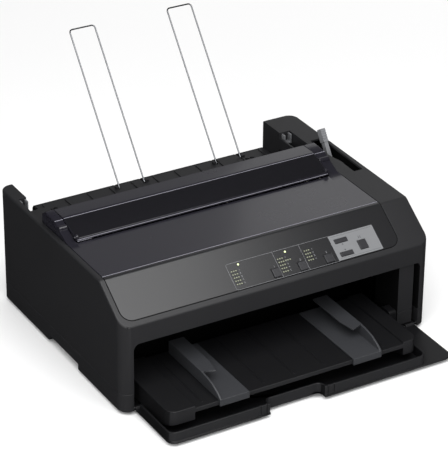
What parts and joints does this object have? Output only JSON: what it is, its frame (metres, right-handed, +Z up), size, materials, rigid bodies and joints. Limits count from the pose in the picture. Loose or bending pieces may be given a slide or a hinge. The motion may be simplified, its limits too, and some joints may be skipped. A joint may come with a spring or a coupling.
{
  "type": "dot matrix printer",
  "caption": "Desktop impact printer with a front sheet tray, hinged front and top covers, an exit flap, a ribbed rear paper guide and wire paper supports, with its print mechanism inside.",
  "frame": {"origin": "centre of the whole object's box in X and Y, on the surface that the rubber feet stand on", "axes": "+X to the right as seen from the front, +Y to the rear, +Z up"},
  "size_m": [0.426, 0.507, 0.276],
  "materials": {
    "case_dark": "fine-textured moulded dark grey",
    "case_base": "fine-textured moulded dark grey",
    "panel_dark": "smooth satin dark grey",
    "label_silver": "satin silver printed overlay",
    "lamp_lens": "clear moulded lamp caps",
    "key_dark": "satin key caps",
    "cover_smoke": "smoked, polished",
    "tray_dark": "fine-textured moulded dark grey",
    "guide_grey": "satin mid grey",
    "lever_grey": "satin light grey",
    "rear_dark": "satin, ribbed",
    "wire_steel": "bright nickel-plated wire",
    "shaft_steel": "ground steel",
    "sheet_steel": "zinc-plated sheet",
    "motor_black": "black painted can",
    "gear_nylon": "natural nylon",
    "gear_brass": "cut brass",
    "platen_rubber": "ground rubber",
    "foot_rubber": "moulded rubber",
    "belt_rubber": "moulded belt",
    "board_green": "coated circuit board",
    "inner_black": "moulded black",
    "ribbon_ink": "inked nylon ribbon"
  },
  "bodies": {
    "root": {"upper_case": "case_dark", "lower_case": "case_base", "control_panel": "panel_dark", "panel_label": "label_silver", "indicator_leds": "lamp_lens", "panel_board": "board_green", "main_board": "board_green", "power_supply": "sheet_steel", "power_inlet": "inner_black", "interface_ports": "sheet_steel", "rubber_feet": "foot_rubber", "side_frame_left": "sheet_steel", "side_frame_right": "sheet_steel", "carriage_shaft": "shaft_steel", "carriage_rail": "sheet_steel", "ribbon_cartridge": "inner_black", "ink_ribbon": "ribbon_ink", "carriage_motor": "motor_black", "feed_motor": "motor_black", "timing_belt": "belt_rubber", "paper_pan": "sheet_steel", "tractor_rod": "shaft_steel", "case_screws": "shaft_steel", "guide_clips": "lever_grey", "switch_body": "inner_black", "cover_hinge_pins": "shaft_steel"},
    "front_cover": {"front_cover": "tray_dark"},
    "sheet_tray": {"sheet_tray": "tray_dark"},
    "edge_guide_left": {"edge_guide_left": "guide_grey"},
    "edge_guide_right": {"edge_guide_right": "guide_grey"},
    "printer_cover": {"printer_cover": "cover_smoke"},
    "exit_flap": {"exit_flap": "cover_smoke"},
    "rear_guide": {"rear_guide": "rear_dark"},
    "support_wire_left": {"support_wire_left": "wire_steel"},
    "support_wire_right": {"support_wire_right": "wire_steel"},
    "release_lever": {"release_lever": "lever_grey"},
    "platen": {"platen_roller": "platen_rubber", "platen_shaft": "shaft_steel", "platen_knob": "key_dark", "platen_gear": "gear_nylon"},
    "idler_gear": {"idler_gear": "gear_nylon"},
    "motor_pinion": {"motor_pinion": "gear_brass"},
    "tractor_shaft": {"tractor_shaft": "shaft_steel"},
    "tractor_left": {"tractor_left": "inner_black"},
    "tractor_right": {"tractor_right": "inner_black"},
    "sprocket_left": {"sprocket_left": "gear_nylon"},
    "sprocket_right": {"sprocket_right": "gear_nylon"},
    "carriage": {"carriage": "inner_black", "print_head": "motor_black"},
    "drive_pulley": {"drive_pulley": "gear_nylon"},
    "idler_pulley": {"idler_pulley": "gear_nylon"},
    "thickness_lever": {"thickness_lever": "lever_grey"},
    "ribbon_knob": {"ribbon_knob": "lever_grey"},
    "mode_button_1": {"mode_button_1": "key_dark"},
    "mode_button_2": {"mode_button_2": "key_dark"},
    "mode_button_3": {"mode_button_3": "key_dark"},
    "feed_button_1": {"feed_button_1": "key_dark"},
    "feed_button_2": {"feed_button_2": "key_dark"},
    "pause_button": {"pause_button": "key_dark"},
    "power_switch": {"power_switch": "inner_black"}
  },
  "joints": [
    {"name": "front_cover_hinge", "type": "hinge", "parent": "root", "child": "front_cover", "pos_m": [-0.0205, -0.16998, 0.0065], "axis": [-1, 0, 0], "range_deg": [0, 90]},
    {"name": "tray_slide", "type": "slide", "parent": "root", "child": "sheet_tray", "axis": [0, 1, 0], "range_m": [0, 0.18]},
    {"name": "edge_guide_left_slide", "type": "slide", "parent": "sheet_tray", "child": "edge_guide_left", "axis": [1, 0, 0], "range_m": [-0.028, 0.055]},
    {"name": "edge_guide_right_slide", "type": "slide", "parent": "sheet_tray", "child": "edge_guide_right", "axis": [1, 0, 0], "range_m": [-0.07, 0.03]},
    {"name": "printer_cover_hinge", "type": "hinge", "parent": "root", "child": "printer_cover", "pos_m": [-0.0205, 0.03252, 0.1455], "axis": [-1, 0, 0], "range_deg": [0, 75]},
    {"name": "exit_flap_hinge", "type": "hinge", "parent": "printer_cover", "child": "exit_flap", "pos_m": [-0.0205, -0.02648, 0.1555], "axis": [1, 0, 0], "range_deg": [0, 160]},
    {"name": "rear_guide_hinge", "type": "hinge", "parent": "root", "child": "rear_guide", "pos_m": [-0.0205, 0.04452, 0.111], "axis": [1, 0, 0], "range_deg": [0, 45]},
    {"name": "support_wire_left_hinge", "type": "hinge", "parent": "rear_guide", "child": "support_wire_left", "pos_m": [-0.0577, 0.12552, 0.1154], "axis": [-1, 0, 0], "range_deg": [0, 43.5]},
    {"name": "support_wire_right_hinge", "type": "hinge", "parent": "rear_guide", "child": "support_wire_right", "pos_m": [0.0788, 0.12552, 0.1154], "axis": [-1, 0, 0], "range_deg": [0, 43.5]},
    {"name": "release_lever_hinge", "type": "hinge", "parent": "root", "child": "release_lever", "pos_m": [0.18, 0.01052, 0.105], "axis": [1, 0, 0], "range_deg": [0, 66]},
    {"name": "platen_turn", "type": "hinge", "parent": "root", "child": "platen", "pos_m": [-0.0205, 0.01052, 0.105], "axis": [1, 0, 0], "continuous": true},
    {"name": "idler_gear_turn", "type": "hinge", "parent": "root", "child": "idler_gear", "pos_m": [0.1635, 0.05378, 0.0926], "axis": [1, 0, 0], "continuous": true},
    {"name": "motor_pinion_turn", "type": "hinge", "parent": "root", "child": "motor_pinion", "pos_m": [0.1635, 0.02883, 0.07057], "axis": [1, 0, 0], "continuous": true},
    {"name": "tractor_shaft_turn", "type": "hinge", "parent": "root", "child": "tractor_shaft", "pos_m": [-0.0205, 0.08262, 0.08433], "axis": [1, 0, 0], "continuous": true},
    {"name": "tractor_left_slide", "type": "slide", "parent": "root", "child": "tractor_left", "axis": [1, 0, 0], "range_m": [-0.03, 0.04]},
    {"name": "tractor_right_slide", "type": "slide", "parent": "root", "child": "tractor_right", "axis": [1, 0, 0], "range_m": [-0.05, 0.03]},
    {"name": "sprocket_left_turn", "type": "hinge", "parent": "tractor_left", "child": "sprocket_left", "pos_m": [-0.1255, 0.08262, 0.08433], "axis": [1, 0, 0], "continuous": true},
    {"name": "sprocket_right_turn", "type": "hinge", "parent": "tractor_right", "child": "sprocket_right", "pos_m": [0.0645, 0.08262, 0.08433], "axis": [1, 0, 0], "continuous": true},
    {"name": "carriage_slide", "type": "slide", "parent": "root", "child": "carriage", "axis": [1, 0, 0], "range_m": [-0.102, 0.102]},
    {"name": "drive_pulley_turn", "type": "hinge", "parent": "root", "child": "drive_pulley", "pos_m": [-0.1675, -0.06948, 0.076], "axis": [0, -1, 0], "range_deg": [-740, 740]},
    {"name": "idler_pulley_turn", "type": "hinge", "parent": "root", "child": "idler_pulley", "pos_m": [0.1285, -0.06948, 0.076], "axis": [0, -1, 0], "range_deg": [-740, 740]},
    {"name": "thickness_lever_hinge", "type": "hinge", "parent": "root", "child": "thickness_lever", "pos_m": [-0.1925, -0.04748, 0.08], "axis": [-1, 0, 0], "range_deg": [0, 30]},
    {"name": "ribbon_knob_turn", "type": "hinge", "parent": "root", "child": "ribbon_knob", "pos_m": [-0.1205, -0.08748, 0.105], "axis": [0, 0, 1], "continuous": true},
    {"name": "mode_button_1_push", "type": "slide", "parent": "root", "child": "mode_button_1", "axis": [0, 0.5672, -0.8236], "range_m": [0, 0.0006], "stiffness_N_per_m": 1000, "springref_m": -0.0002},
    {"name": "mode_button_2_push", "type": "slide", "parent": "root", "child": "mode_button_2", "axis": [0, 0.5672, -0.8236], "range_m": [0, 0.0006], "stiffness_N_per_m": 1000, "springref_m": -0.0002},
    {"name": "mode_button_3_push", "type": "slide", "parent": "root", "child": "mode_button_3", "axis": [0, 0.5672, -0.8236], "range_m": [0, 0.0006], "stiffness_N_per_m": 1000, "springref_m": -0.0002},
    {"name": "feed_button_1_push", "type": "slide", "parent": "root", "child": "feed_button_1", "axis": [0, 0.5672, -0.8236], "range_m": [0, 0.0006], "stiffness_N_per_m": 1000, "springref_m": -0.0002},
    {"name": "feed_button_2_push", "type": "slide", "parent": "root", "child": "feed_button_2", "axis": [0, 0.5672, -0.8236], "range_m": [0, 0.0006], "stiffness_N_per_m": 1000, "springref_m": -0.0002},
    {"name": "pause_button_push", "type": "slide", "parent": "root", "child": "pause_button", "axis": [0, 0.5672, -0.8236], "range_m": [0, 0.0006], "stiffness_N_per_m": 1000, "springref_m": -0.0002},
    {"name": "power_switch_rock", "type": "hinge", "parent": "root", "child": "power_switch", "pos_m": [0.1917, -0.13048, 0.054], "axis": [0, 1, 0], "range_deg": [0, 12]}
  ],
  "couplings": [
    {"joint": "tray_slide", "follows": "front_cover_hinge", "m_per_rad": 0.11459},
    {"joint": "idler_gear_turn", "follows": "platen_turn", "ratio": -2},
    {"joint": "motor_pinion_turn", "follows": "platen_turn", "ratio": -3.3333},
    {"joint": "tractor_shaft_turn", "follows": "platen_turn", "ratio": 2},
    {"joint": "sprocket_left_turn", "follows": "platen_turn", "ratio": 2},
    {"joint": "sprocket_right_turn", "follows": "platen_turn", "ratio": 2},
    {"joint": "drive_pulley_turn", "follows": "carriage_slide", "rad_per_m": 125},
    {"joint": "idler_pulley_turn", "follows": "carriage_slide", "rad_per_m": 125}
  ]
}
